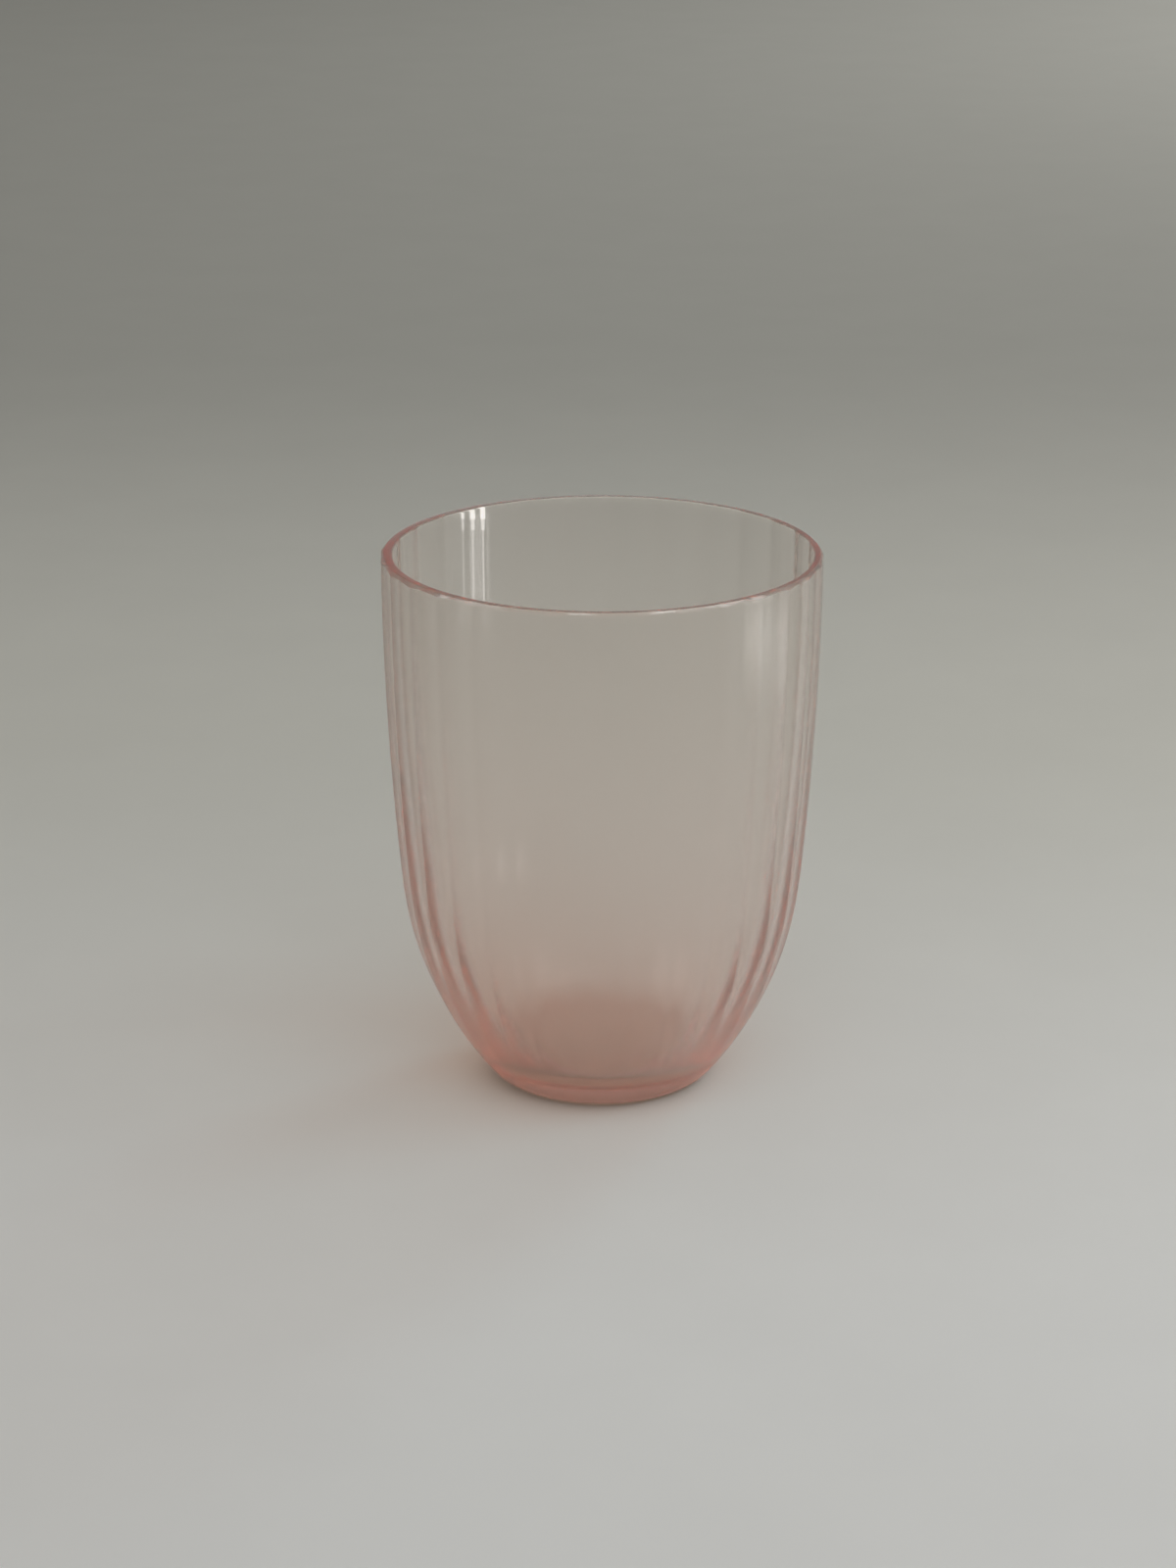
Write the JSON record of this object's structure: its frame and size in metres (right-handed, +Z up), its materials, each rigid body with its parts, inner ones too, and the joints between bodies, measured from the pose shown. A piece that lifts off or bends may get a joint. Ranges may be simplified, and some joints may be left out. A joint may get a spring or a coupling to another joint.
{
  "type": "tumbler",
  "caption": "Drinking tumbler of clear pink glass with an egg-shaped bowl, shallow flutes cut down the outside, a ground flat rim and a small flat foot.",
  "frame": {"origin": "centre of the flat foot, on the surface that the glass stands on", "axes": "+Z up along the axis of the bowl, -Y towards the side that the picture shows"},
  "size_m": [0.0799, 0.0799, 0.1005],
  "materials": {
    "pink_glass": "clear polished, tinted in the mass"
  },
  "bodies": {
    "root": {"tumbler": "pink_glass"}
  },
  "joints": []
}
